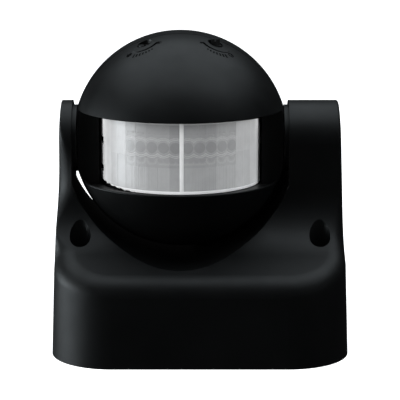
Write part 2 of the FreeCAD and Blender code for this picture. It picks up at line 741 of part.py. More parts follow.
def cord_clamp():
    """A bridge that holds the supply cable's sheath down on the back plate."""
    x, y, low = dim("clamp_x"), dim("grommet_y"), dim("plate_thickness")
    half_width, half_length, arch_level = 2.5, 9.5, 0.6
    arch_radius = dim("cable_radius") + 0.5
    bar = box("clamp_bar", (x - half_width, y - half_length, low),
              (x + half_width, y + half_length, low + CORD_CLAMP_HEIGHT))
    arch = cylinder("clamp_arch", arch_radius, 2 * half_width, (x - half_width, y, low + arch_level), "+X")
    mouth = box("clamp_mouth", (x - half_width, y - arch_radius, low),
                (x + half_width, y + arch_radius, low + arch_level))
    holes = [cylinder(f"clamp_hole_{index}", SMALL_HOLE, CORD_CLAMP_HEIGHT, (hole_x, hole_y, low))
             for index, (hole_x, hole_y) in enumerate(small_screw_places()[2:])]
    return sub_part(cut("cord_clamp", bar, arch, mouth, *holes), "cord_clamp")


def clamp_screws():
    top = dim("plate_thickness") + CORD_CLAMP_HEIGHT
    head, head_height, length = 2.2, 1.4, 8.7
    screws = [pan_screw(f"clamp_screw_{index}", head, SMALL_SHANK, head_height, length, (x, y, top), "+Z")
              for index, (x, y) in enumerate(small_screw_places()[2:])]
    return sub_part(group("clamp_screws", *screws), "clamp_screws")


def pivot_seals():
    """One rubber ring at each pivot, seated in the recess of its collar."""
    middle = dim("collar_face") + dim("seal_section") + 0.05
    z = dim("pivot_height")
    for label, sign in (("left_pivot_seal", -1), ("right_pivot_seal", 1)):
        ring = torus(label, dim("seal_ring"), dim("seal_section"),
                     (dim("ball_offset") + middle * sign, 0, z), "+X")
        sub_part(ring, label)


def lead_turn_x():
    """Where the lead stands in the thick arm."""
    return dim("ball_offset") + dim("trunnion_end") + 5.0


def core_height():
    """The level at which the lead and its cores lie in front of the terminals."""
    return dim("plate_thickness") + 4.6


def sheath_end_x():
    return dim("block_x") + 13


def base_lead():
    """The sheathed lead from the pivot's axis, down the thick arm, to beside the terminal block."""
    z = dim("pivot_height")
    x = lead_turn_x()
    way = dim("block_y")
    end = sheath_end_x()
    points = [(dim("ball_offset") + dim("trunnion_end") + 0.1, 0, z), (x, 0, z), (x, 0.6, z - 10),
              (x, 0, z - 22), (x - 0.6, 0.8, z - 34), (x - 3, 2.4, z - 44), (end + 5.5, way, core_height()),
              (end, way, core_height())]
    return sub_part(lead("base_lead", points, "lead_radius"), "base_lead")


def lead_cores():
    """Three cores that lie in a triangle in the sheath's end and fan out to the terminals."""
    start_x, end_x = sheath_end_x(), dim("block_x") + 5
    y, height = dim("block_y"), core_height()
    side, low, high = 0.71, -0.41, 0.82
    live_way, neutral_way, load_way = way_places()
    cores = [cylinder("core_neutral", dim("core_radius"), start_x - end_x,
                      (end_x, neutral_way, height + high), "+X")]
    for name, way, offset in (("live", live_way, -side), ("load", load_way, side)):
        points = [(start_x, y + offset, height + low), (start_x - 1.8, y + offset, height + low),
                  (end_x + 3.8, way - offset, height + low), (end_x, way, height + low)]
        cores.append(lead(f"core_{name}", points, "core_radius"))
    return sub_part(group("lead_cores", *cores), "lead_cores")


# ---------------------------------------------------------------- head shells and lens

def sphere_edge(radius, height):
    """How far from the ball's upright axis a sphere lies at a height."""
    return root(radius * radius - height * height)


def in_front(name, end):
    return box(name, (-REACH, -REACH, -REACH), (REACH, end, REACH))


def boss_places():
    return [(f"{'upper' if up > 0 else 'lower'}_{'left' if side < 0 else 'right'}",
             dim("boss_x") * side, dim("boss_z") * up) for up in (1, -1) for side in (-1, 1)]


def dial_places():
    return (("light", -dim("dial_x")), ("time", dim("dial_x")))


def visor_cap():
    """The upper dome with a flat roof over the window; its outer edge is slightly rounded."""
    outer, inner = dim("ball_radius"), dim("ball_radius") - dim("shell_wall")
    low, small = dim("visor_height"), dim("edge_rounding")
    roof = low + dim("ledge_thickness")
    edge = sphere_edge(outer, low)
    return turned("visor", [
        (0, inner), (sphere_edge(inner, roof), roof), (dim("ledge_radius"), roof),
        (dim("ledge_radius"), low), (edge - small, low), (sphere_edge(outer, low + small), low + small),
        (0, outer)],
        {0: (inner, -1), 4: (small, 1), 5: (outer, 1)})


def lower_bowl():
    """The lower dome with a raised, rounded rim and a ledge that the lens stands behind."""
    outer, inner = dim("ball_radius"), dim("ball_radius") - dim("shell_wall")
    rim, small = dim("rim_height"), dim("edge_rounding")
    ledge = rim - dim("lip_height")
    under = ledge - dim("ledge_thickness")
    edge = sphere_edge(outer, rim)
    inside = edge - dim("lip_width")
    return turned("bowl", [
        (0, -outer), (sphere_edge(outer, rim - small), rim - small), (edge - small, rim),
        (inside + small, rim), (inside, rim - small), (inside, ledge),
        (dim("ledge_radius"), ledge), (dim("ledge_radius"), under), (sphere_edge(inner, under), under),
        (0, -inner)], {0: (outer, 1), 1: (small, 1), 3: (small, 1), 8: (inner, -1)})


def cheeks():
    """The walls that close the window slot at both ends, in line with the seam."""
    end = dim("seam") - dim("seam_gap") / 2
    low = dim("rim_height") - dim("lip_height") - 0.5
    high = dim("visor_height") + 0.5
    sides = [box(f"cheek_{side}", (start, dim("cheek_front"), low), (stop, end, high))
             for side, start, stop in (("left", -dim("flat_face"), -dim("ledge_radius")),
                                       ("right", dim("ledge_radius"), dim("flat_face")))]
    return common("cheeks", fuse("cheek_pair", *sides), sphere("cheek_limit", dim("ball_radius")))


SCALE_OUTER = 4.3
SCALE_INNER = 3.9
SCALE_SHIFT = (0.35, 0.15)   # how far the inner arc is set off, which makes the wedge
SCALE_START = 1.6         # how far ahead of the dial's middle the arc starts


def dial_scales():
    """A wedge-shaped arc sunk into the ball in front of each dial, thick towards the middle of the ball."""
    skin = cut("scale_skin", sphere("scale_skin_out", dim("ball_radius") + 1),
               sphere("scale_skin_in", dim("ball_radius") - dim("scale_depth")))
    marks = []
    for name, x in dial_places():
        outside = cylinder(f"scale_outer_{name}", SCALE_OUTER, REACH, (x, dim("dial_y"), 0))
        outwards = SCALE_SHIFT[0] if name == "time" else -SCALE_SHIFT[0]
        inside = cylinder(f"scale_inner_{name}", SCALE_INNER, REACH,
                          (x + outwards, dim("dial_y") + SCALE_SHIFT[1], 0))
        ahead = box(f"scale_front_{name}", (x - SCALE_OUTER, dim("dial_y") - SCALE_OUTER, 0),
                    (x + SCALE_OUTER, dim("dial_y") - SCALE_START, REACH))
        marks.append(common(f"scale_{name}", cut(f"scale_ring_{name}", outside, inside), ahead))
    return common("scale_marks", fuse("scale_pair", *marks), skin)


def front_shell():
    end = dim("seam") - dim("seam_gap") / 2
    inner = dim("ball_radius") - dim("shell_wall")
    pilot_depth, collar_wall, collar_low, collar_height = 7.0, 1.1, 23.5, 6.0
    bosses = [cylinder(f"front_boss_{name}", dim("boss_radius"), REACH, (x, end, z), "-Y")
              for name, x, z in boss_places()]
    inside_bosses = common("front_bosses", fuse("front_boss_set", *bosses),
                           sphere("boss_limit", dim("ball_radius") - 1))
    collars = []
    for name, x in dial_places():
        collars.append(cylinder(f"dial_collar_{name}", dim("dial_hole") + collar_wall, collar_height,
                                (x, dim("dial_y"), collar_low)))
    inside_collars = common("dial_collars", fuse("dial_collar_pair", *collars),
                            sphere("collar_limit", dim("ball_radius") - 1),
                            in_front("collar_space", end))
    whole = fuse("front_whole", visor_cap(), lower_bowl())
    whole = common("front_half", whole, in_front("front_space", end))
    whole = fuse("front_joined", whole, cheeks(), inside_bosses, inside_collars)
    tools = [cylinder(f"dial_hole_{name}", dim("dial_hole"), REACH, (x, dim("dial_y"), REACH / 2))
             for name, x in dial_places()]
    tools += [cylinder(f"front_pilot_{name}", dim("head_screw_shank"), pilot_depth, (x, end, z), "-Y")
              for name, x, z in boss_places()]
    tools.append(dial_scales())
    low = dim("rim_height") - dim("lip_height") - dim("ledge_thickness")
    high = dim("visor_height") + dim("ledge_thickness") + 0.1
    tools.append(cylinder("lens_clearance", dim("ledge_radius"), high - low, (0, 0, low)))
    return sub_part(cut("front_shell", whole, *tools), "front_shell", BALL_CENTRE)


def rear_shell():
    start = dim("seam") + dim("seam_gap") / 2
    outer, inner = dim("ball_radius"), dim("ball_radius") - dim("shell_wall")
    flat, cavity = dim("flat_face"), dim("cavity_face")
    ball = common("rear_ball", sphere("rear_out", outer),
                  box("rear_slab", (-flat, start, -REACH), (flat, REACH, REACH)))
    hollow = common("rear_hollow", sphere("rear_in", inner),
                    box("rear_hollow_slab", (-cavity, -REACH, -REACH), (cavity, REACH, REACH)))
    well_depth, pilot, pilot_depth, skin = 7.0, 1.1, 9.6, 0.5
    tubes = [cylinder(f"rear_tube_{name}", dim("boss_tube_radius"), REACH, (x, start, z), "+Y")
             for name, x, z in boss_places()]
    posts = [cylinder(f"board_post_{side}", dim("post_radius"), REACH,
                      (dim("post_x") * sign, board_back(), dim("post_z")), "+Y")
             for side, sign in (("left", -1), ("right", 1))]
    inside = common("rear_inside", fuse("rear_inside_set", *tubes, *posts),
                    sphere("rear_inside_limit", outer - skin))
    stub = cylinder("left_stub", dim("stub_radius"), dim("stub_end") - cavity, (-cavity, 0, 0), "-X")
    trunnion = cylinder("right_trunnion", dim("trunnion_radius"), dim("trunnion_end") - cavity,
                        (cavity, 0, 0), "+X")
    tools = [cylinder("lead_way", dim("trunnion_bore"), REACH, (cavity - dim("shell_wall") * 2, 0, 0), "+X")]
    for name, x, z in boss_places():
        tools.append(cylinder(f"rear_well_{name}", dim("head_screw_hole"), REACH,
                              (x, start + well_depth, z), "+Y"))
        tools.append(cylinder(f"rear_pass_{name}", dim("head_screw_shank") + SCREW_CLEARANCE, REACH,
                              (x, start - 1, z), "+Y"))
    for side, sign in (("left", -1), ("right", 1)):
        tools.append(cylinder(f"board_pilot_{side}", pilot, pilot_depth,
                              (dim("post_x") * sign, dim("board_front"), dim("post_z")), "+Y"))
    whole = fuse("rear_whole", cut("rear_cup", ball, hollow), inside, stub, trunnion)
    return sub_part(cut("rear_shell", whole, *tools), "rear_shell", BALL_CENTRE)


def shell_gasket():
    """A flat rubber ring that closes the seam between the two shells."""
    gap = dim("seam_gap")
    start = dim("seam") - gap / 2
    outer = dim("ball_radius") - 1.2
    width, side_inset = 1.2, 1.0
    ring = tube("gasket_ring", outer, outer - width, gap, (0, start, 0), "+Y")
    half = dim("flat_face") - side_inset
    within = box("gasket_slab", (-half, -REACH, -REACH), (half, REACH, REACH))
    return sub_part(common("shell_gasket", ring, within), "shell_gasket", BALL_CENTRE)


def shell_screws():
    well_depth, head, head_height, length = 7.0, 2.2, 1.6, 12.5
    start = dim("seam") + dim("seam_gap") / 2 + well_depth
    screws = [pan_screw(f"shell_screw_{name}", head, dim("head_screw_shank"), head_height, length,
                        (x, start, z), "+Y")
              for name, x, z in boss_places()]
    return sub_part(group("shell_screws", *screws), "shell_screws", BALL_CENTRE)


def curved_band(name, outer, inner, low, high, half_angle):
    """Part of a ring about the ball's upright axis, centred on the way the head looks."""
    body = new_body(name)
    rectangle(new_sketch(body, name + "_section", "XZ_Plane"), inner, low, outer, high)
    feature = body.newObject("PartDesign::Revolution", name + "_turn")
    feature.Profile = body.Group[0]
    feature.ReferenceAxis = (body.Group[0], ["V_Axis"])
    bind(feature, "Angle", half_angle * 2)
    turn = FreeCAD.Rotation(V(0, 0, 1), -90 - half_angle.number)
    body.Placement = FreeCAD.Placement(V(), turn)
    return body


def fresnel_lens():
    outer = dim("lens_radius")
    band = curved_band("lens_band", outer, outer - dim("lens_thickness"), dim("lens_bottom"),
                       dim("lens_top"), dim("lens_half_angle"))
    return sub_part(group("fresnel_lens", band), "fresnel_lens", BALL_CENTRE)


def lens_frame():
    """The black bezel behind the lens: a curved frame with a window, and flanges over its edges."""
    gap, bar, end_angle = 0.1, 1.0, 8.0
    inner = dim("lens_radius") - dim("lens_thickness") - gap
    reach = dim("lens_radius") + gap
    low, high = dim("lens_bottom") - gap / 2, dim("lens_top") + gap / 2
    half = dim("lens_half_angle")
    web = curved_band("frame_web", inner, inner - bar, low - bar, high + bar, half)
    bottom = curved_band("frame_bottom", reach, inner - bar, low - bar, low, half)
    top = curved_band("frame_top", reach, inner - bar, high, high + bar, half)
    window = curved_band("frame_window", reach + bar, inner - 2 * bar, low + bar, high - bar,
                         half - end_angle)
    return sub_part(cut("lens_frame", fuse("frame_whole", web, bottom, top), window),
                    "lens_frame", BALL_CENTRE)


# ---------------------------------------------------------------- pivot hardware

WASHER = 0.6
RING_FIT = 0.03           # the stop ring's play on the trunnion


def thrust_washer():
    start = dim("arm_face") + dim("wall") + dim("running_gap")
    ring = tube("washer_ring", dim("stop_ring_radius"), dim("trunnion_radius"), WASHER, (start, 0, 0), "+X")
    return sub_part(ring, "thrust_washer", BALL_CENTRE)


def stop_ring():
    """The ring that locks the trunnion in the arm; its lug meets the ribs at the ends of the tilt."""
    start = dim("arm_face") + dim("wall") + dim("running_gap") + WASHER
    depth = dim("stop_ring_thickness")
    ring = cylinder("stop_ring_disc", dim("stop_ring_radius"), depth, (start, 0, 0), "+X")
    half = dim("stop_lug_width") / 2
    lug = box("stop_lug", (start, -half, dim("stop_ring_radius") - 1.5),
              (start + depth, half, dim("stop_lug_reach")))
    turned_lug = place(group("stop_lug_turned", lug), (0, 0, 0),
                       FreeCAD.Rotation(V(1, 0, 0), dim("stop_lug_angle").number))
    bore = cylinder("stop_ring_bore", dim("trunnion_radius") + RING_FIT, depth, (start, 0, 0), "+X")
    return sub_part(cut("stop_ring", fuse("stop_ring_whole", ring, turned_lug), bore),
                    "stop_ring", BALL_CENTRE)


def head_lead():
    """The lead's last stretch: along the pivot's axis, then back to the circuit board."""
    end = dim("trunnion_end")
    turn_x = 19.5
    points = [(end, 0, 0), (turn_x, 0, 0), (turn_x, dim("board_front") - 0.1, 0)]
    return sub_part(lead("head_lead", points, "lead_radius"), "head_lead", BALL_CENTRE)


# ---------------------------------------------------------------- electronics

def board_back():
    return dim("board_front") + dim("board_thickness")


def circuit_board():
    body = new_body("board_body")
    plan = new_sketch(body, "board_outline", "XZ_Plane", -dim("board_front"))
    ring_hole(plan, 0, 0, dim("board_radius"))
    for sign in (-1, 1):
        ring_hole(plan, dim("post_x") * sign, dim("post_z"), 1.4)
    pad(body, "board_sheet", plan, dim("board_thickness"), reverse=True)
    return sub_part(body, "circuit_board", BALL_CENTRE)


TRIMMER_BOARD = 1.2


def trimmer_board():
    """A small board across the top of the main one, which carries the two trimmers."""
    low = dim("trimmer_board_height")
    half, ahead = 13.0, 4.0
    sheet_part = box("trimmer_sheet", (-half, dim("dial_y") - ahead, low),
                     (half, dim("board_front"), low + TRIMMER_BOARD))
    return sub_part(group("trimmer_board", sheet_part), "trimmer_board", BALL_CENTRE)


def board_screws():
    head, shank, head_height, length = 2.1, 1.1, 1.4, 9.0
    screws = [pan_screw(f"board_screw_{side}", head, shank, head_height, length,
                        (dim("post_x") * sign, dim("board_front"), dim("post_z")), "-Y")
              for side, sign in (("left", -1), ("right", 1))]
    return sub_part(group("board_screws", *screws), "board_screws", BALL_CENTRE)


DETECTOR_FOOT = 3.6       # the flange's seat, behind the ball's upright axis
WINDOW_HALF = (2.5, 2.0)
WINDOW_FRONT = -1.0
WINDOW_BACK = -0.5


def window_block(name):
    """The filter's block, used both for the pane and for its pocket."""
    z = dim("detector_height")
    return box(name, (-WINDOW_HALF[0], WINDOW_FRONT, z - WINDOW_HALF[1]),
               (WINDOW_HALF[0], WINDOW_BACK, z + WINDOW_HALF[1]))


def pir_detector():
    """The metal can with its mounting flange; its pocket holds the filter window."""
    z, radius = dim("detector_height"), dim("detector_radius")
    flange_width, can_height, flange_height = 0.5, 4.6, 0.7
    can = cylinder("detector_can", radius - flange_width, can_height, (0, DETECTOR_FOOT, z), "-Y")
    flange = cylinder("detector_flange", radius, flange_height, (0, DETECTOR_FOOT, z), "-Y")
    pocket_tool = window_block("detector_pocket")
    whole = cut("detector_whole", fuse("detector_blank", can, flange), pocket_tool)
    return sub_part(whole, "pir_detector", BALL_CENTRE)


def pir_window():
    return sub_part(group("window_pane", window_block("window_sheet")), "pir_window", BALL_CENTRE)


def detector_spacer():
    spacer = cylinder("spacer_disc", dim("detector_radius"), dim("board_front") - DETECTOR_FOOT,
                      (0, dim("board_front"), dim("detector_height")), "-Y")
    return sub_part(group("spacer_group", spacer), "detector_spacer", BALL_CENTRE)


def block_on_board(label, x_range, z_range, depth, front=False):
    """A rectangular component on the back of the board, or on its front."""
    start, stop = board_back(), board_back() + depth
    if front:
        start, stop = dim("board_front") - depth, dim("board_front")
    shape = box(label + "_block", (x_range[0], start, z_range[0]), (x_range[1], stop, z_range[1]))
    return sub_part(group(label, shape), label, BALL_CENTRE)


def round_parts(label, radius, depth, places, front=False):
    """Round components that stand on the board at the given places."""
    start, axis = (dim("board_front"), "-Y") if front else (board_back(), "+Y")
    shapes = [cylinder(f"{label}_{index}", radius, depth, (x, start, z), axis)
              for index, (x, z) in enumerate(places)]
    return sub_part(group(label, *shapes), label, BALL_CENTRE)


def lying_parts(label, radius, length, places):
    """Small axial components that lie on the back of the board."""
    shapes = [cylinder(f"{label}_{index}", radius, length, (x, board_back() + radius, z), "+Z")
              for index, (x, z) in enumerate(places)]
    return sub_part(group(label, *shapes), label, BALL_CENTRE)


def indicator_led():
    x, z, front = 10.0, -4.0, dim("board_front")
    radius, foot_radius, stem, foot = 1.5, 1.9, 3.2, 0.9
    lamp = fuse("led_whole", cylinder("led_stem", radius, stem, (x, front, z), "-Y"),
                cylinder("led_foot", foot_radius, foot, (x, front, z), "-Y"),
                sphere("led_dome", radius, (x, front - stem, z)))
    return sub_part(lamp, "indicator_led", BALL_CENTRE)


def regulator():
    x, z, start = 14.5, 8.5, board_back()
    radius, height, flat_side = 2.4, 4.6, 1.2
    can = cylinder("regulator_can", radius, height, (x, start, z), "+Y")
    flat = box("regulator_flat", (x - radius, start, z - radius), (x + radius, start + height, z + flat_side))
    return sub_part(common("regulator", can, flat), "regulator", BALL_CENTRE)


def trimmers_and_dials():
    """Each dial turns its trimmer's rotor; the trimmer's case stays on its board."""
    base = dim("trimmer_board_height") + TRIMMER_BOARD
    y, radius, top = dim("dial_y"), dim("dial_radius"), dim("dial_top")
    half, case_height, shaft_radius = 2.6, 3.4, 1.5
    grip_radius, grip_height, slot_depth = 1.3, 2.0, 0.9
    for name, x in dial_places():
        case = box(f"{name}_case_block", (x - half, y - half, base), (x + half, y + half, base + case_height))
        seat = cylinder(f"{name}_case_seat", shaft_radius + 0.1, case_height, (x, y, base + 1.4))
        sub_part(cut(f"{name}_case", case, seat), f"{name}_trimmer", BALL_CENTRE)
        low = base + case_height + 0.1
        shaft = cylinder(f"{name}_shaft", shaft_radius, low - base - 1.2, (x, y, base + 1.5))
        disc = cylinder(f"{name}_disc", radius, top - low, (x, y, low))
        blank = fuse(f"{name}_blank", shaft, disc)
        if name == "time":
            grip = cylinder(f"{name}_grip", grip_radius, grip_height, (x, y, top - 0.2))
            groove = box(f"{name}_groove", (x - 0.25, y - radius, top + 1.2),
                         (x + 0.25, y + radius, top + grip_height))
            sub_part(cut(f"{name}_knob", fuse(f"{name}_gripped", blank, grip), groove),
                     f"{name}_dial", BALL_CENTRE)
            continue
        slot = box(f"{name}_slot", (x - 0.3, y - 1.3, top - slot_depth), (x + 0.3, y + 1.3, top + 1))
        sub_part(cut(f"{name}_knob", blank, slot), f"{name}_dial", BALL_CENTRE)


# ---------------------------------------------------------------- build, check and write

def build():
    base_housing()
    back_plate()
    plate_gasket()
    housing_screws()
    cable_grommet()
    terminal_block()
    terminal_clamps()
    terminal_screws()
    block_screws()
    cord_clamp()
    clamp_screws()
    pivot_seals()
    base_lead()
    lead_cores()
    front_shell()
    rear_shell()
    shell_gasket()
    shell_screws()
    fresnel_lens()
    lens_frame()
    thrust_washer()
    stop_ring()
    head_lead()
    circuit_board()
    trimmer_board()
    board_screws()
    pir_detector()
    pir_window()
    detector_spacer()
    indicator_led()
    regulator()
    trimmers_and_dials()
    block_on_board("relay", (-14, 6), (-16.5, -1.5), 10)
    block_on_board("film_capacitor", (-9, 9), (3, 10), 12)
    block_on_board("control_chip", (-5, 5), (-15, -9), 1.8, front=True)
    round_parts("electrolytic_capacitors", 3.15, 8, [(12.0, -14.0), (12.0, -6.0)])
    round_parts("light_sensor", 2.5, 2.4, [(-10.0, -4.0)], front=True)
    lying_parts("rectifier_diodes", 1.35, 4.2, [(x, 13.5) for x in (-9, -5, -1, 3)])
    lying_parts("resistors", 1.1, 5.0, [(x, 13.2) for x in (7.5, 10.5)] + [(-16.5, 2.0), (-13.5, 2.5)])


def check_and_write():
    for obj in doc.Objects:
        if "Invalid" in obj.State or "Error" in obj.State:
            raise RuntimeError(f"{obj.Name} failed: {obj.State}")
    os.makedirs(OUTPUT_FOLDER, exist_ok=True)
    for obj in PARTS:
        shape = obj.Shape
        if shape.isNull() or not shape.isValid() or not shape.Solids:
            raise RuntimeError(f"{obj.Label} has no valid solid")
        shape.exportStep(os.path.join(OUTPUT_FOLDER, obj.Label + ".step"))
        size = shape.BoundBox
        print(f"{obj.Label}: {len(shape.Solids)} solids, {shape.Volume:.0f} mm3, "
              f"x {size.XMin:.2f} {size.XMax:.2f}, y {size.YMin:.2f} {size.YMax:.2f}, "
              f"z {size.ZMin:.2f} {size.ZMax:.2f}")


build()
doc.recompute()
check_and_write()
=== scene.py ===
"""Looks for the motion sensor: satin black mouldings, a frosted segmented lens and soft studio light.

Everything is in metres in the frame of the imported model: +Z up, the lens looks along -Y.
"""
import json
import math

import bmesh
import bpy
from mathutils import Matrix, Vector


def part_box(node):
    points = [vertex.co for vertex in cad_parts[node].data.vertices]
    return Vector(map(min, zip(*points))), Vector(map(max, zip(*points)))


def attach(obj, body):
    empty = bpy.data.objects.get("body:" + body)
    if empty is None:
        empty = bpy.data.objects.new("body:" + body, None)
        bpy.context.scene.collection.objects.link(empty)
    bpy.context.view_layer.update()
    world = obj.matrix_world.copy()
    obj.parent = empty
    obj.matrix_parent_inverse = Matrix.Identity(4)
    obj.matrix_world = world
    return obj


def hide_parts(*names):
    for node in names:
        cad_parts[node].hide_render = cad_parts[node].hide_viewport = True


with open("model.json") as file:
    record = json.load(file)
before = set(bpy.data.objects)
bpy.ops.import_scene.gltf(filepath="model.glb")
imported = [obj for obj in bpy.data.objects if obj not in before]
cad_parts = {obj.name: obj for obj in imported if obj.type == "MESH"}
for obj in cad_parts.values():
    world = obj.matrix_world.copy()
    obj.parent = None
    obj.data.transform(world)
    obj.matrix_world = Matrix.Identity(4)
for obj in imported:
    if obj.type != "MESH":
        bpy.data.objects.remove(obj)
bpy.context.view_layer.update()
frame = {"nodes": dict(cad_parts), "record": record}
MM = 0.001

# ---------------------------------------------------------------- places read from the frame

LENS_LOW, LENS_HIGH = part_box("fresnel_lens")
LENS_HALF_ANGLE = 85.0
LENS_RADIUS = (LENS_HIGH[0] - LENS_LOW[0]) / 2 / math.sin(math.radians(LENS_HALF_ANGLE))
LENS_THICKNESS = 0.8 * MM
REAR_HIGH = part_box("rear_shell")[1]
BALL_RADIUS = REAR_HIGH[1]
BALL = Vector(((LENS_LOW[0] + LENS_HIGH[0]) / 2, 0.0, REAR_HIGH[2] - BALL_RADIUS))


def node_middle(name):
    low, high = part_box(name)
    return (Vector(low) + Vector(high)) / 2


# ---------------------------------------------------------------- material helpers

def new_material(name):
    material = bpy.data.materials.new(name)
    material.use_nodes = True
    tree = material.node_tree
    shader = tree.nodes["Principled BSDF"]
    return material, tree, shader


def add_node(tree, kind, inputs=None, **settings):
    node = tree.nodes.new(kind)
    for key, value in settings.items():
        setattr(node, key, value)
    for key, value in (inputs or {}).items():
        node.inputs[key].default_value = value
    return node


def object_noise(tree, scale, detail=3.0, roughness=0.5):
    """Noise in the object's own metres."""
    place = add_node(tree, "ShaderNodeTexCoord")
    noise = add_node(tree, "ShaderNodeTexNoise",
                     {"Scale": scale, "Detail": detail, "Roughness": roughness})
    tree.links.new(place.outputs["Object"], noise.inputs["Vector"])
    return noise


def ramp(tree, source, low, high, low_colour, high_colour):
    """Spreads a value between two colours."""
    node = add_node(tree, "ShaderNodeValToRGB")
    node.color_ramp.elements[0].position = low
    node.color_ramp.elements[1].position = high
    node.color_ramp.elements[0].color = (*low_colour, 1)
    node.color_ramp.elements[1].color = (*high_colour, 1)
    tree.links.new(source, node.inputs["Fac"])
    return node


def bump(tree, shader, source, strength, distance):
    node = add_node(tree, "ShaderNodeBump", {"Strength": strength, "Distance": distance})
    tree.links.new(source, node.inputs["Height"])
    tree.links.new(node.outputs["Normal"], shader.inputs["Normal"])


def moulded_plastic(name, dark, light, roughness):
    """Moulded plastic: a fine spark-eroded grain, faint flow clouds and slightly uneven gloss."""
    material, tree, shader = new_material(name)
    clouds = object_noise(tree, 55.0, 4.0, 0.55)
    colour = ramp(tree, clouds.outputs["Fac"], 0.35, 0.68, dark, light)
    tree.links.new(colour.outputs["Color"], shader.inputs["Base Color"])
    smears = object_noise(tree, 140.0, 5.0, 0.6)
    gloss = add_node(tree, "ShaderNodeMapRange",
                     {"From Min": 0.3, "From Max": 0.7, "To Min": roughness - 0.04,
                      "To Max": roughness + 0.05})
    tree.links.new(smears.outputs["Fac"], gloss.inputs["Value"])
    tree.links.new(gloss.outputs["Result"], shader.inputs["Roughness"])
    fine = object_noise(tree, 5200.0, 2.0, 0.5)
    bump(tree, shader, fine.outputs["Fac"], 0.35, 0.00003)
    return material


def lens_plastic():
    """Frosted polyethylene whose tone, held on the mesh as an attribute, follows the moulded blocks and
    carries painted light: a painted highlight along the lower edge and painted paler ends.
    """
    material, tree, shader = new_material("frosted_lens")
    shader.inputs["Roughness"].default_value = 0.34
    shader.inputs["Subsurface Weight"].default_value = 0.15
    shader.inputs["Subsurface Scale"].default_value = 0.002
    shader.inputs["Subsurface Radius"].default_value = (1.0, 1.0, 1.0)
    tone = add_node(tree, "ShaderNodeAttribute", attribute_name="tone")
    colour = ramp(tree, tone.outputs["Fac"], 0.0, 1.0, (0.16, 0.165, 0.17), (0.92, 0.93, 0.94))
    clouds = object_noise(tree, 260.0, 3.0, 0.6)
    veil = add_node(tree, "ShaderNodeMapRange",
                    {"From Min": 0.3, "From Max": 0.7, "To Min": 0.93, "To Max": 1.03})
    tree.links.new(clouds.outputs["Fac"], veil.inputs["Value"])
    mix = add_node(tree, "ShaderNodeMix", {"Factor": 1.0}, data_type="RGBA", blend_type="MULTIPLY")
    tree.links.new(colour.outputs["Color"], mix.inputs["A"])
    tree.links.new(veil.outputs["Result"], mix.inputs["B"])
    tree.links.new(mix.outputs["Result"], shader.inputs["Base Color"])
    fine = object_noise(tree, 4200.0, 2.0, 0.5)
    bump(tree, shader, fine.outputs["Fac"], 0.2, 0.00003)
    return material


def rubber(name):
    material, tree, shader = new_material(name)
    shader.inputs["Roughness"].default_value = 0.75
    shader.inputs["Specular IOR Level"].default_value = 0.35
    dust = object_noise(tree, 420.0, 5.0, 0.65)
    colour = ramp(tree, dust.outputs["Fac"], 0.4, 0.75, (0.010, 0.010, 0.011), (0.032, 0.031, 0.030))
    tree.links.new(colour.outputs["Color"], shader.inputs["Base Color"])
    bump(tree, shader, dust.outputs["Fac"], 0.3, 0.00006)
    return material


def metal(name, dark, light, roughness):
    material, tree, shader = new_material(name)
    shader.inputs["Metallic"].default_value = 1.0
    wear = object_noise(tree, 900.0, 6.0, 0.7)
    colour = ramp(tree, wear.outputs["Fac"], 0.3, 0.7, dark, light)
    tree.links.new(colour.outputs["Color"], shader.inputs["Base Color"])
    gloss = add_node(tree, "ShaderNodeMapRange",
                     {"From Min": 0.3, "From Max": 0.7, "To Min": roughness - 0.08,
                      "To Max": roughness + 0.12})
    tree.links.new(wear.outputs["Fac"], gloss.inputs["Value"])
    tree.links.new(gloss.outputs["Result"], shader.inputs["Roughness"])
    bump(tree, shader, wear.outputs["Fac"], 0.15, 0.00003)
    return material


def laminate():
    """A green circuit board with the paler shadow of copper tracks under its coating."""
    material, tree, shader = new_material("circuit_laminate")
    shader.inputs["Roughness"].default_value = 0.32
    place = add_node(tree, "ShaderNodeTexCoord")
    tracks = add_node(tree, "ShaderNodeTexBrick",
                      {"Scale": 260.0, "Mortar Size": 0.09, "Color1": (0.012, 0.085, 0.035, 1),
                       "Color2": (0.016, 0.10, 0.042, 1), "Mortar": (0.05, 0.22, 0.10, 1)})
    turn = add_node(tree, "ShaderNodeMapping", {"Rotation": (math.pi / 2, 0, 0)})
    tree.links.new(place.outputs["Object"], turn.inputs["Vector"])
    tree.links.new(turn.outputs["Vector"], tracks.inputs["Vector"])
    tree.links.new(tracks.outputs["Color"], shader.inputs["Base Color"])
    bump(tree, shader, tracks.outputs["Fac"], 0.3, 0.00003)
    return material


# ---------------------------------------------------------------- finishes for the carried-over parts

BLACK_LOW = (0.0010, 0.0011, 0.0012)
BLACK_HIGH = (0.0015, 0.0016, 0.0017)

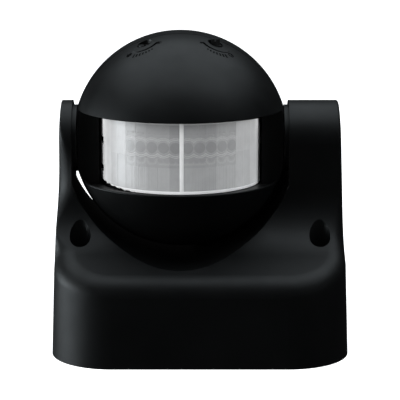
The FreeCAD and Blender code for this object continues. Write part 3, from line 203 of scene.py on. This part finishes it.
FINISHES = {
    "housing_plastic": moulded_plastic("housing_satin_black", BLACK_LOW, BLACK_HIGH, 0.50),
    "shell_plastic": moulded_plastic("shell_satin_black", BLACK_LOW, BLACK_HIGH, 0.46),
    "plate_plastic": moulded_plastic("plate_black", (0.014, 0.014, 0.015), (0.022, 0.022, 0.023), 0.58),
    "frame_plastic": moulded_plastic("frame_matt_black", (0.005, 0.005, 0.005), (0.008, 0.008, 0.008), 0.65),
    "dial_plastic": moulded_plastic("dial_black", (0.0020, 0.0020, 0.0022), (0.0034, 0.0034, 0.0036), 0.62),
    "block_plastic": moulded_plastic("block_pale", (0.60, 0.60, 0.57), (0.70, 0.70, 0.67), 0.45),
    "component_black": moulded_plastic("component_epoxy", (0.012, 0.012, 0.012), (0.02, 0.02, 0.02), 0.5),
    "trimmer_plastic": moulded_plastic("trimmer_blue", (0.02, 0.07, 0.28), (0.03, 0.10, 0.36), 0.4),
    "film_yellow": moulded_plastic("film_case_yellow", (0.60, 0.40, 0.05), (0.70, 0.48, 0.07), 0.35),
    "capacitor_sleeve": moulded_plastic("capacitor_sleeve", (0.015, 0.015, 0.04), (0.03, 0.03, 0.07), 0.3),
    "sensor_ceramic": moulded_plastic("sensor_ceramic", (0.55, 0.26, 0.12), (0.66, 0.34, 0.17), 0.3),
    "resistor_body": moulded_plastic("resistor_lacquer", (0.55, 0.45, 0.30), (0.66, 0.55, 0.38), 0.4),
    "lead_sheath": moulded_plastic("lead_sheath_black", (0.015, 0.015, 0.015), (0.025, 0.025, 0.025), 0.55),
    "core_insulation": moulded_plastic("core_insulation", (0.03, 0.12, 0.42), (0.05, 0.16, 0.52), 0.4),
    "lamp_plastic": moulded_plastic("lamp_red", (0.42, 0.012, 0.010), (0.52, 0.02, 0.016), 0.2),
    "filter_glass": moulded_plastic("filter_dark", (0.03, 0.03, 0.035), (0.05, 0.05, 0.055), 0.12),
    "rubber": rubber("black_rubber"),
    "screw_steel": metal("zinc_steel", (0.42, 0.42, 0.43), (0.62, 0.62, 0.63), 0.32),
    "clamp_brass": metal("clamp_brass", (0.50, 0.36, 0.14), (0.72, 0.54, 0.24), 0.34),
    "can_metal": metal("nickel_can", (0.48, 0.46, 0.42), (0.66, 0.64, 0.58), 0.26),
    "board": laminate(),
    "lens_plastic": lens_plastic(),
}

for row in frame["record"]["subparts"]:
    piece = frame["nodes"][row["node"]]
    piece.data.materials.clear()
    piece.data.materials.append(FINISHES[row["material_slot"]])


# ---------------------------------------------------------------- the segmented lens

COLUMN = 8.4            # degrees across one lenslet column
RIB_HALF = 1.45         # degrees, half of the smooth middle rib
FIELD_HALF = 42.0       # degrees, the part with round lenslets
BLOCK_END = 58.8        # degrees, the end of the two wide side columns
ROW_MIDDLE = 0.95       # mm above the ball's centre, the row of whole circles
ROW_TOP, ROW_BOTTOM, LOWER_BOTTOM = 4.7, -2.1, -4.7
LOWER_MIDDLE = -2.3
CIRCLE, LOWER_CIRCLE = 1.6, 0.95
GROOVE = 0.07           # mm, how deep the grooves are
BORDER_LOW, BORDER_HIGH = -11.35, 7.45
NOTCH_END = -72.5       # degrees, where the notches in the left edge end
RAGGED_START = -33.0    # degrees, from here to the left the lower edge is cut unevenly
RAGGED_LOW, RAGGED_HIGH = -12.2, -11.0
LEFT_STEP, RIGHT_STEP = -1.9, -1.2    # mm, where the side columns' lower halves start
UPPER_NOTCH = (-0.6, 1.5)             # mm, the heights that each notch in the left edge spans
LOWER_NOTCH = (-8.6, -6.7)
PATTERN_STEP = 0.14     # mm, how finely the mesh follows the rows of lenslets
FIELD_STEP = 0.38       # degrees, how finely it follows the columns
PATTERN_TURN = 1.3      # degrees, how far the pattern's middle stands off the lens's own
EDGE_GAP = 0.06         # mm or degrees, how close a second row of vertices stands to an edge
SIDE_STEP = 0.5         # degrees, how finely it follows the grooves beside the field

# Places round a circle, as shares of its area.
RIM_END = 1.4
CREASES = ((1.85, 2.30), (2.75, 3.20))

# Relief in mm, and shares of a groove's depth.
BORDER_RISE, RIB_RISE, TOP_DEPTH = 0.05, 0.12, 0.03
DOME_SHARE, RING_SHARE, WIDE_SHARE, END_SHARE = 0.6, 1.3, 0.5, 0.8

# Grooves per mm; the shifts keep those of neighbouring columns from lining up.
TOP_GROOVES, TOP_SHIFT = 2.1, 0.3
LOWER_GROOVES, LOWER_SHIFT = 2.6, 0.4
WIDE_GROOVES, CLOSE_GROOVES, END_GROOVES = 1.4, 2.4, 1.25

# Tones from 0 to 1, dark to pale.
# The lower border's near-white tone is a painted highlight along the lens's lower edge.
BORDER_HIGHLIGHT_TONE, TOP_TONE, RIB_TONE = 0.98, 0.40, 0.74
FIELD_TONE = 0.18
FIELD_RISE = 0.00009    # per square degree, how the field gets paler outwards
COLUMN_SWING = 0.022    # how far neighbouring columns differ
ABOVE_TONE, SMALL_TONE, BELOW_TONE = -0.02, 0.02, 0.06    # added above, on and below the circles' rows
SMALL_SHARE = 0.5       # the small circles differ from their field by half as much
DOME_TONE, RIM_TONE, CREASE_TONE, GROOVE_TONE = -0.055, 0.03, 0.15, -0.01    # added round a circle
UPPER_BLOCK_TONE, LOWER_BLOCK_TONE = 0.47, 0.42
END_TONE = 0.53
PAINTED_LIGHT_START = 64.0        # degrees; past here the ends are painted paler, painted light against the shade that the cheeks throw
PAINTED_LIGHT_RISE, PAINTED_LIGHT_MOST = 0.04, 0.35


def turned_pattern(angle):
    """Where a line of the pattern lies on the lens; the ends stay in place."""
    return angle + PATTERN_TURN * math.cos(math.radians(90 * angle / LENS_HALF_ANGLE))


def saw(value):
    """A groove's profile: it climbs slowly and drops at once."""
    return value - math.floor(value)


def ring_groove(across, up, first_radius):
    """Grooves round a shallow dome, closer together outwards: their depth, and what they add to the tone."""
    turn = (across * across + up * up) / (first_radius * first_radius)
    if turn < 1:
        return DOME_SHARE * turn, DOME_TONE
    if turn < RIM_END:
        return saw(turn), RIM_TONE
    in_crease = any(low < turn < high for low, high in CREASES)
    return saw(turn), CREASE_TONE if in_crease else GROOVE_TONE


def lens_relief(angle, height):
    """The depth in mm below the smooth surface, and the tone from 0 to 1, at a place on the lens."""
    side = abs(angle)
    mm_per_degree = LENS_RADIUS / MM * math.pi / 180
    # Below the lower border the lens is painted near-white, a painted highlight along its lower edge.
    if height < BORDER_LOW:
        return -BORDER_RISE, BORDER_HIGHLIGHT_TONE
    if side < RIB_HALF:
        return -RIB_RISE * math.cos(side / RIB_HALF * math.pi / 2) ** 0.5, RIB_TONE
    column = math.floor(angle / COLUMN)
    middle = (column + 0.5) * COLUMN
    across = (angle - middle) * mm_per_degree
    if height > BORDER_HIGH:
        return TOP_DEPTH, TOP_TONE
    if side < FIELD_HALF:
        shade = FIELD_TONE + FIELD_RISE * middle * middle + COLUMN_SWING * math.sin(column * 2.4 + 0.7)
        if height > ROW_TOP:
            return GROOVE * saw(across * TOP_GROOVES + column * TOP_SHIFT), shade + ABOVE_TONE
        if height > ROW_BOTTOM:
            depth, tone = ring_groove(across, height - ROW_MIDDLE, CIRCLE)
            return RING_SHARE * GROOVE * depth, shade + tone
        if height > LOWER_BOTTOM:
            finer = 2 if side < 2 * COLUMN else 1
            width = COLUMN / finer
            inner = (angle - (math.floor(angle / width) + 0.5) * width) * mm_per_degree
            depth, tone = ring_groove(inner, height - LOWER_MIDDLE, LOWER_CIRCLE)
            return RING_SHARE * GROOVE * depth, shade + SMALL_TONE + SMALL_SHARE * tone
        return GROOVE * saw(across * LOWER_GROOVES + column * LOWER_SHIFT), shade + BELOW_TONE
    step_height = LEFT_STEP if angle < 0 else RIGHT_STEP
    if side < BLOCK_END:
        if height > step_height:
            return GROOVE * WIDE_SHARE * saw(across * WIDE_GROOVES), UPPER_BLOCK_TONE
        return GROOVE * saw(across * CLOSE_GROOVES), LOWER_BLOCK_TONE
    # Past the start angle the ends are painted paler, up to a limit: painted light against the shade that
    # the cheeks throw.
    edge = min(max(side - PAINTED_LIGHT_START, 0) * PAINTED_LIGHT_RISE, PAINTED_LIGHT_MOST)
    return END_SHARE * GROOVE * saw(angle * mm_per_degree * END_GROOVES), END_TONE + edge


def steps(edges, fine):
    """Positions from the first edge to the last, with a close pair at each edge."""
    places = []
    for low, high in zip(edges, edges[1:]):
        count = max(2, int(round((high - low) / fine)))
        gap = min(EDGE_GAP, fine / 4)
        inside = [low + gap + (high - low - 2 * gap) * step / count for step in range(count + 1)]
        places += inside
    return [edges[0]] + places + [edges[-1]]


def cut_away(angle, height):
    """Two small notches in the lens's left edge, and its lower edge, which rises towards that end."""
    in_notch = any(low < height < high for low, high in (UPPER_NOTCH, LOWER_NOTCH))
    if angle < NOTCH_END and in_notch:
        return True
    share = min(max((RAGGED_START - angle) / (RAGGED_START - NOTCH_END), 0), 1)
    rise = (RAGGED_HIGH - RAGGED_LOW) * share ** 1.3
    wave = 0.13 * math.sin(0.9 * angle) * min(1, 4 * share)
    return height < RAGGED_LOW + rise + wave


def segmented_lens():
    """The curved lens sheet with its moulded grooves, as one closed mesh."""
    half = LENS_HALF_ANGLE
    columns = [step * COLUMN for step in range(-5, 6) if step]
    angle_edges = [-half, NOTCH_END, -BLOCK_END, -FIELD_HALF - COLUMN] + columns
    angle_edges += [FIELD_HALF + COLUMN, BLOCK_END, half, -RIB_HALF, RIB_HALF]
    angle_edges = sorted(set(angle_edges))
    fine_angles = []
    for low, high in zip(angle_edges, angle_edges[1:]):
        fine = FIELD_STEP if max(abs(low), abs(high)) <= FIELD_HALF else SIDE_STEP
        fine_angles += steps([low, high], fine)[:-1]
    angles = fine_angles + [half]
    low, high = (LENS_LOW[2] - BALL[2]) / MM, (LENS_HIGH[2] - BALL[2]) / MM
    heights = []
    # Each band's lower edge, its upper edge and how finely the mesh follows it, in mm.
    bands = ((low, RAGGED_LOW, 0.5), (RAGGED_LOW, BORDER_LOW, 0.17), (BORDER_LOW, RAGGED_HIGH, 0.17),
             (RAGGED_HIGH, LOWER_NOTCH[0], 1.0), (LOWER_NOTCH[0], LOWER_NOTCH[1], 0.7),
             (LOWER_NOTCH[1], LOWER_BOTTOM, 0.7), (LOWER_BOTTOM, ROW_BOTTOM, PATTERN_STEP),
             (ROW_BOTTOM, LEFT_STEP, PATTERN_STEP), (LEFT_STEP, RIGHT_STEP, PATTERN_STEP),
             (RIGHT_STEP, UPPER_NOTCH[0], PATTERN_STEP), (UPPER_NOTCH[0], UPPER_NOTCH[1], PATTERN_STEP),
             (UPPER_NOTCH[1], ROW_TOP, PATTERN_STEP), (ROW_TOP, BORDER_HIGH, 0.7), (BORDER_HIGH, high, 0.6))
    for start, stop, fine in bands:
        heights += steps([start, stop], fine)[:-1]
    heights.append(high)

    mesh = bpy.data.meshes.new("segmented_lens")
    bm = bmesh.new()
    tone_layer = bm.verts.layers.float.new("tone")

    def vertex(angle, height, radius, tone):
        turn = math.radians(turned_pattern(angle))
        spot = Vector((radius * math.sin(turn), -radius * math.cos(turn), height * MM)) + BALL
        made = bm.verts.new(spot)
        made[tone_layer] = tone
        return made

    outer, inner = [], []
    for height in heights:
        outer_row, inner_row = [], []
        for angle in angles:
            depth, tone = lens_relief(angle, height)
            outer_row.append(vertex(angle, height, LENS_RADIUS - depth * MM, tone))
            inner_row.append(vertex(angle, height, LENS_RADIUS - LENS_THICKNESS, tone))
        outer.append(outer_row)
        inner.append(inner_row)
    kept = {}
    for row in range(len(heights) - 1):
        for col in range(len(angles) - 1):
            middle_angle = (angles[col] + angles[col + 1]) / 2
            middle_height = (heights[row] + heights[row + 1]) / 2
            kept[row, col] = not cut_away(middle_angle, middle_height)
    for (row, col), keep in kept.items():
        if not keep:
            continue
        corners = ((row, col), (row, col + 1), (row + 1, col + 1), (row + 1, col))
        neighbours = ((row - 1, col), (row, col + 1), (row + 1, col), (row, col - 1))
        bm.faces.new([outer[line][place] for line, place in corners]).smooth = True
        bm.faces.new([inner[line][place] for line, place in reversed(corners)]).smooth = True
        for first, second, beside in zip(corners, corners[1:] + corners[:1], neighbours):
            if not kept.get(beside, False):
                bm.faces.new([outer[second[0]][second[1]], outer[first[0]][first[1]],
                              inner[first[0]][first[1]], inner[second[0]][second[1]]])
    bmesh.ops.delete(bm, geom=[vert for vert in bm.verts if not vert.link_faces], context="VERTS")
    bm.to_mesh(mesh)
    bm.free()
    lens = bpy.data.objects.new("segmented_lens", mesh)
    bpy.context.scene.collection.objects.link(lens)
    mesh.materials.append(FINISHES["lens_plastic"])
    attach(lens, "head")
    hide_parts("fresnel_lens")


segmented_lens()


# ---------------------------------------------------------------- marks round the dials

def ink():
    material, tree, shader = new_material("sunk_mark_black")
    shader.inputs["Roughness"].default_value = 0.85
    shader.inputs["Specular IOR Level"].default_value = 0.08
    mottle = object_noise(tree, 900.0, 3.0)
    colour = ramp(tree, mottle.outputs["Fac"], 0.3, 0.7, (0.0010, 0.0010, 0.0011), (0.0030, 0.0030, 0.0032))
    tree.links.new(colour.outputs["Color"], shader.inputs["Base Color"])
    return material


INK = ink()


def on_ball(x, y, lift):
    """The point, in metres, that is lifted off the ball's skin above a plan position; those are in mm."""
    radius = BALL_RADIUS / MM + lift
    return BALL + Vector((x, y, math.sqrt(radius * radius - x * x - y * y))) * MM


MARK_RISE, MARK_SINK = 0.06, 0.05    # mm above and below the ball's skin


def mark_on_ball(name, loops):
    """Thin raised shapes on the ball, from closed plan outlines in mm; one mesh for the set."""
    mesh = bpy.data.meshes.new(name)
    bm = bmesh.new()
    for loop in loops:
        flat = [bm.verts.new((x, y, 0)) for x, y in loop]
        face = bm.faces.new(flat)
        if face.normal.z < 0 or face.calc_area() == 0:
            face.normal_flip()
        cap = bmesh.ops.triangulate(bm, faces=[face])["faces"]
        triangles = [list(triangle.verts) for triangle in cap]
        # dict.fromkeys keeps the order, where a set would give the mesh another one on each run.
        top = list(dict.fromkeys(vert for corners in triangles for vert in corners))
        low = {vert: bm.verts.new(on_ball(vert.co.x, vert.co.y, -MARK_SINK)) for vert in top}
        edges = list(dict.fromkeys(edge for triangle in cap for edge in triangle.edges))
        walls = [tuple(edge.verts) for edge in edges if len(edge.link_faces) == 1]
        for vert in top:
            vert.co = on_ball(vert.co.x, vert.co.y, MARK_RISE)
        for first, second in walls:
            bm.faces.new((first, low[first], low[second], second))
        for corners in triangles:
            bm.faces.new([low[vert] for vert in reversed(corners)])
    bmesh.ops.recalc_face_normals(bm, faces=bm.faces)
    bm.to_mesh(mesh)
    bm.free()
    piece = bpy.data.objects.new(name, mesh)
    bpy.context.scene.collection.objects.link(piece)
    mesh.materials.append(INK)
    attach(piece, "head")


def polar(centre, radius, degrees):
    turn = math.radians(degrees)
    return centre[0] + radius * math.sin(turn), centre[1] - radius * math.cos(turn)


def tick(centre, radius, length, width, degrees):
    """A short bar that points at the dial's middle; 0 degrees is straight ahead of it."""
    half = math.degrees(width / 2 / radius)
    return [polar(centre, radius, degrees - half), polar(centre, radius, degrees + half),
            polar(centre, radius + length, degrees + half), polar(centre, radius + length, degrees - half)]


DISC_SIDES, MOON_SIDES = 20, 14


def disc(centre, radius):
    return [polar(centre, radius, 360 * step / DISC_SIDES) for step in range(DISC_SIDES)]


def crescent(centre, radius):
    """A moon: the outer arc, and a shallower arc back."""
    outer = [polar(centre, radius, -150 + 300 * step / MOON_SIDES) for step in range(MOON_SIDES + 1)]
    inner = [polar((centre[0], centre[1] + 0.45 * radius), 0.75 * radius, 140 - 280 * step / MOON_SIDES)
             for step in range(MOON_SIDES + 1)]
    return outer + inner


def sun(centre, radius):
    rays = [tick(centre, 1.35 * radius, 0.7 * radius, 0.35 * radius, 45 * step + 10) for step in range(8)]
    return [disc(centre, radius)] + rays


def clock(centre, radius):
    """A dial face: a ring in four quarters round two hands."""
    quarters = []
    for start in range(0, 360, 90):
        outer = [polar(centre, radius, start + 4 + 82 * step / 6) for step in range(7)]
        inner = [polar(centre, 0.72 * radius, start + 86 - 82 * step / 6) for step in range(7)]
        quarters.append(outer + inner)
    hub = 0.12 * radius
    hands = [tick(centre, hub, 0.5 * radius, 0.12 * radius, 170),
             tick(centre, hub, 0.36 * radius, 0.12 * radius, 70)]
    return quarters + hands


TICKS = 7
TICK_RADIUS = 5.0        # mm, from the dial's middle to a tick's inner end
TICK_LENGTH, TICK_GROWTH, TICK_WIDTH = 0.5, 0.1, 0.36
TICK_START, TICK_TURN = -24, 9.5    # degrees, the first tick's direction and the turn to the next
INNER_PLACE = (4.0, 2.2)    # mm beside and in front of the dial, on the side of the ball's middle
OUTER_PLACE = (4.4, 3.0)    # the same, on the other side
INNER_RADIUS, OUTER_RADIUS = 0.40, 0.75


def dial_marks():
    for name, side in (("light_dial", -1), ("time_dial", 1)):
        middle = (node_middle(name) - BALL) / MM
        centre = (middle.x, middle.y)
        ticks = [tick(centre, TICK_RADIUS, TICK_LENGTH + TICK_GROWTH * step, TICK_WIDTH,
                      side * (TICK_START + TICK_TURN * step)) for step in range(TICKS)]
        mark_on_ball(f"{name}_graduations", ticks)
    light = (node_middle("light_dial") - BALL) / MM
    time = (node_middle("time_dial") - BALL) / MM
    mark_on_ball("light_dial_symbols",
                 sun((light.x + INNER_PLACE[0], light.y - INNER_PLACE[1]), INNER_RADIUS)
                 + [crescent((light.x - OUTER_PLACE[0], light.y - OUTER_PLACE[1]), OUTER_RADIUS)])
    mark_on_ball("time_dial_symbols",
                 clock((time.x + OUTER_PLACE[0], time.y - OUTER_PLACE[1]), OUTER_RADIUS)
                 + [disc((time.x - INNER_PLACE[0], time.y - INNER_PLACE[1]), INNER_RADIUS)])


dial_marks()


# ---------------------------------------------------------------- studio

def add_area(name, place, aim, width, height, power, colour):
    """A rectangular light; its sizes are in metres and its power in watts."""
    light = bpy.data.lights.new(name, "AREA")
    light.energy = power
    light.color = colour
    light.shape = "RECTANGLE"
    light.size = width
    light.size_y = height
    holder = bpy.data.objects.new(name, light)
    bpy.context.scene.collection.objects.link(holder)
    holder.location = place
    holder.rotation_euler = (Vector(aim) - Vector(place)).to_track_quat("-Z", "Y").to_euler()
    return holder


FLOOR_SIDES = 48
FLOOR_RINGS = (0.05, 0.2, 0.6, 1.5, 4.0)    # metres


def pale_floor():
    """A wide round sheet of glowing paper under the object; it takes no shadow and throws no light back."""
    mesh = bpy.data.meshes.new("studio_floor")
    bm = bmesh.new()
    turns = [math.tau * step / FLOOR_SIDES for step in range(FLOOR_SIDES)]
    rings = []
    for radius in FLOOR_RINGS:
        rings.append([bm.verts.new((radius * math.cos(turn), radius * math.sin(turn), 0)) for turn in turns])
    bm.faces.new(rings[0])
    for inside, outside in zip(rings, rings[1:]):
        for step in range(FLOOR_SIDES):
            after = (step + 1) % FLOOR_SIDES
            bm.faces.new((inside[step], outside[step], outside[after], inside[after]))
    bm.to_mesh(mesh)
    bm.free()
    floor = bpy.data.objects.new("studio_floor", mesh)
    bpy.context.scene.collection.objects.link(floor)
    floor.visible_glossy = False
    floor.visible_diffuse = False
    floor.visible_shadow = False
    material, tree, shader = new_material("studio_paper")
    shader.inputs["Roughness"].default_value = 0.95
    shader.inputs["Specular IOR Level"].default_value = 0.05
    shader.inputs["Emission Color"].default_value = (1.0, 1.0, 1.0, 1)
    shader.inputs["Emission Strength"].default_value = 1.0
    paper = object_noise(tree, 30.0, 4.0)
    colour = ramp(tree, paper.outputs["Fac"], 0.3, 0.7, (0.93, 0.93, 0.93), (0.96, 0.96, 0.96))
    tree.links.new(colour.outputs["Color"], shader.inputs["Base Color"])
    floor.data.materials.append(material)


def studio_world():
    """A white surround for the camera, and a nearly black one for everything else."""
    world = bpy.data.worlds.new("studio_world")
    bpy.context.scene.world = world
    world.use_nodes = True
    tree = world.node_tree
    background = tree.nodes["Background"]
    background.inputs["Color"].default_value = (1.0, 1.0, 1.0, 1)
    background.inputs["Strength"].default_value = 0.01
    white = add_node(tree, "ShaderNodeBackground", {"Color": (1.0, 1.0, 1.0, 1), "Strength": 1.0})
    path = add_node(tree, "ShaderNodeLightPath")
    mix = add_node(tree, "ShaderNodeMixShader")
    tree.links.new(path.outputs["Is Camera Ray"], mix.inputs[0])
    tree.links.new(background.outputs[0], mix.inputs[1])
    tree.links.new(white.outputs[0], mix.inputs[2])
    tree.links.new(mix.outputs[0], tree.nodes["World Output"].inputs["Surface"])


def studio_light():
    """A big soft box above, a low one at the left that only shines on gloss, and three fills that don't."""
    studio_world()
    sky = (0.86, 0.95, 1.0)
    white = (1.0, 1.0, 1.0)
    add_area("overhead_box", place=(0.0, 0.14, 0.85), aim=(0.0, 0.14, 0.0), width=1.9, height=1.18,
             power=7.9, colour=sky)
    left = add_area("left_box", place=(-0.70, 0.0, 0.0), aim=(0, 0, 0.03), width=0.60, height=0.20,
                    power=2.2, colour=sky)
    left.visible_diffuse = False
    fills = []
    for name, place, power in (("left_fill", (-0.72, -0.36, 0.20), 7.8),
                               ("right_fill", (0.72, -0.36, 0.18), 5.4),
                               ("front_fill", (0.0, -0.85, 0.25), 1.0)):
        fills.append(add_area(name, place, aim=(0, 0, 0.05), width=0.50, height=0.40,
                              power=power, colour=white))
    for fill in fills:
        fill.visible_glossy = False


CAMERA_ELEVATION = 11.83    # degrees
CAMERA_DISTANCE = 0.532     # metres
CAMERA_TARGET = (0.0, 0.0, 0.0409)
CAMERA_LENS = 163.3         # mm


def camera_like_photo():
    """A long lens a little above the object, straight in front of it."""
    elevation = math.radians(CAMERA_ELEVATION)
    target = Vector(CAMERA_TARGET)
    data = bpy.data.cameras.new("photo_camera")
    data.sensor_width = 36.0
    data.lens = CAMERA_LENS
    data.clip_start = 0.05
    camera = bpy.data.objects.new("photo_camera", data)
    bpy.context.scene.collection.objects.link(camera)
    camera.location = target + CAMERA_DISTANCE * Vector((0, -math.cos(elevation), math.sin(elevation)))
    camera.rotation_euler = (target - camera.location).to_track_quat("-Z", "Y").to_euler()
    bpy.context.scene.camera = camera


bpy.context.scene.view_settings.view_transform = "Standard"
pale_floor()
studio_light()
camera_like_photo()

bpy.context.view_layer.update()
